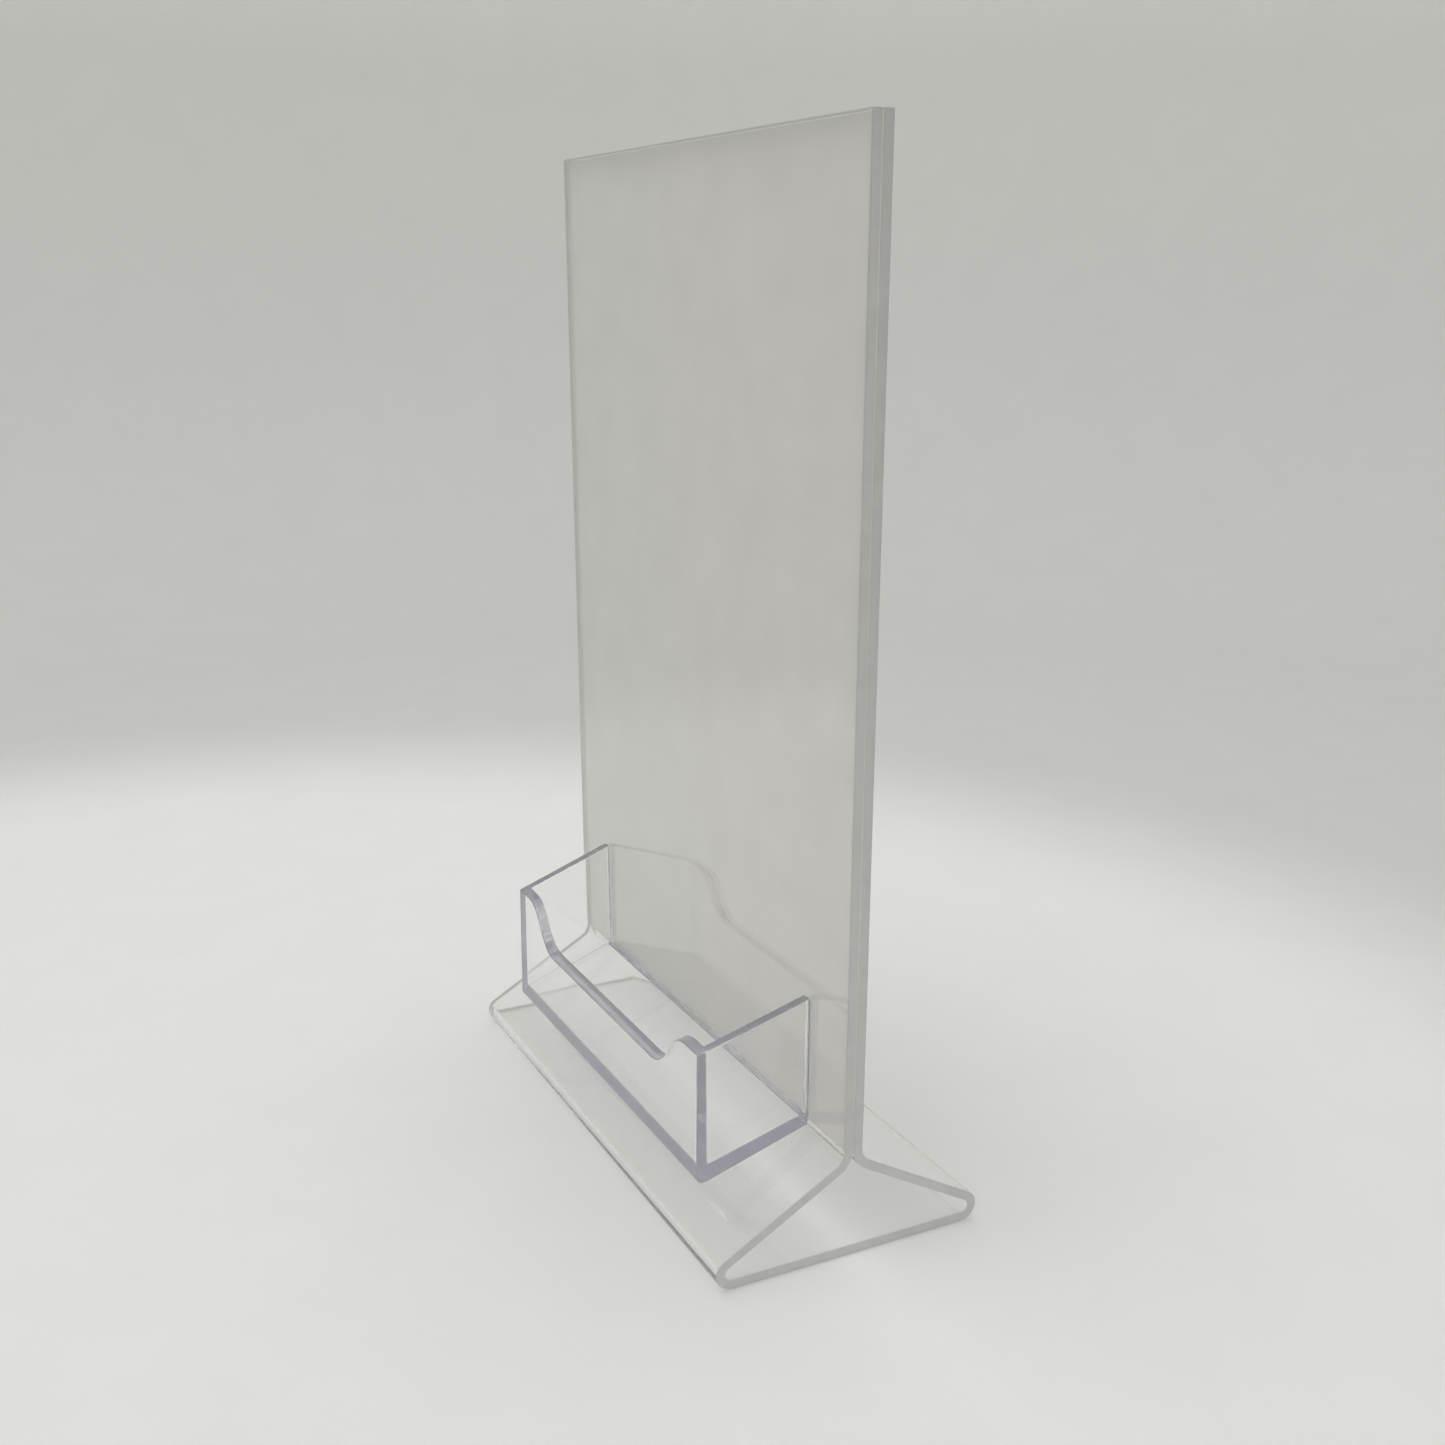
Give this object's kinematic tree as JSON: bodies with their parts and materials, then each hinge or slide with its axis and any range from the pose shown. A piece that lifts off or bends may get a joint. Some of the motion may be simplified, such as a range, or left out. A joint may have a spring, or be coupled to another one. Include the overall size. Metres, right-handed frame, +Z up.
{
  "type": "tabletop sign holder",
  "caption": "Clear double-panel tabletop sign holder on a triangular base, with a glued card pocket and a slide-in blank insert.",
  "frame": {"origin": "on the table, under the middle of the base", "axes": "+Z up, +Y to the back, away from the card pocket; X runs along the bends"},
  "size_m": [0.127, 0.0568, 0.1997],
  "materials": {
    "clear_acrylic": "clear, polished faces, satin sawn edges",
    "clear_styrene": "clear, glossy, faint violet tint in the edges",
    "cured_cement": "clear, rippled",
    "blank_card": "matt, unprinted"
  },
  "bodies": {
    "holder": {"holder_sheet": "clear_acrylic", "card_pocket": "clear_styrene", "cement_left": "cured_cement", "cement_right": "cured_cement", "cement_floor": "cured_cement"},
    "insert": {"insert_sheet": "blank_card"}
  },
  "joints": [
    {"name": "insert_slide", "type": "slide", "parent": "holder", "child": "insert", "axis": [0, 0, 1], "range_m": [0, 0.18]}
  ]
}
